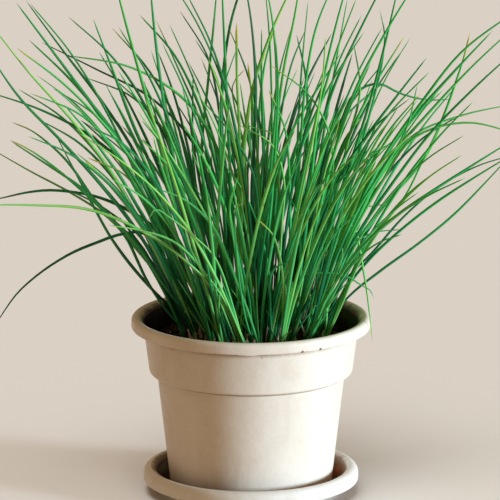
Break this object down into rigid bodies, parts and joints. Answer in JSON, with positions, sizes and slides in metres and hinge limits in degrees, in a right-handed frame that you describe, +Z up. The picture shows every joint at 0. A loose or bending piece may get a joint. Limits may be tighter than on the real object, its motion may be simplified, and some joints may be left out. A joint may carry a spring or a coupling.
{
  "type": "potted chives",
  "caption": "Clump of chives with slender tubular leaves growing in a round plastic flower pot with a rolled rim, standing on a matching saucer.",
  "frame": {"origin": "on the pot's axis, at the flat underside of the saucer", "axes": "+Z up along the pot's axis, front of the pot towards -Y, +X to the right seen from the front"},
  "size_m": [0.342, 0.3505, 0.35],
  "materials": {
    "saucer_plastic": "satin",
    "pot_plastic": "satin",
    "soil": "matte",
    "chive_leaf": "satin"
  },
  "bodies": {
    "root": {"saucer": "saucer_plastic", "pot": "pot_plastic", "soil": "soil", "chive_plant_01": "chive_leaf", "chive_plant_02": "chive_leaf", "chive_plant_03": "chive_leaf", "chive_plant_04": "chive_leaf", "chive_plant_05": "chive_leaf", "chive_plant_06": "chive_leaf", "chive_plant_07": "chive_leaf", "chive_plant_08": "chive_leaf", "chive_plant_09": "chive_leaf", "chive_plant_10": "chive_leaf", "chive_plant_11": "chive_leaf", "chive_plant_12": "chive_leaf", "chive_plant_13": "chive_leaf", "chive_plant_14": "chive_leaf", "chive_plant_15": "chive_leaf", "chive_plant_16": "chive_leaf", "chive_plant_17": "chive_leaf", "chive_plant_18": "chive_leaf", "chive_plant_19": "chive_leaf", "chive_plant_20": "chive_leaf", "chive_plant_21": "chive_leaf", "chive_plant_22": "chive_leaf", "chive_plant_23": "chive_leaf", "chive_plant_24": "chive_leaf", "chive_plant_25": "chive_leaf", "chive_plant_26": "chive_leaf", "chive_plant_27": "chive_leaf", "chive_plant_28": "chive_leaf", "chive_plant_29": "chive_leaf", "chive_plant_30": "chive_leaf", "chive_plant_31": "chive_leaf", "chive_plant_32": "chive_leaf", "chive_plant_33": "chive_leaf", "chive_plant_34": "chive_leaf", "chive_plant_35": "chive_leaf", "chive_plant_36": "chive_leaf", "chive_plant_37": "chive_leaf", "chive_plant_38": "chive_leaf", "chive_plant_39": "chive_leaf", "chive_plant_40": "chive_leaf", "chive_plant_41": "chive_leaf", "chive_plant_42": "chive_leaf", "chive_plant_43": "chive_leaf", "chive_plant_44": "chive_leaf", "chive_plant_45": "chive_leaf", "chive_plant_46": "chive_leaf", "chive_plant_47": "chive_leaf", "chive_plant_48": "chive_leaf", "chive_plant_49": "chive_leaf", "chive_plant_50": "chive_leaf", "chive_plant_51": "chive_leaf", "chive_plant_52": "chive_leaf", "chive_plant_53": "chive_leaf", "chive_plant_54": "chive_leaf"}
  },
  "joints": []
}
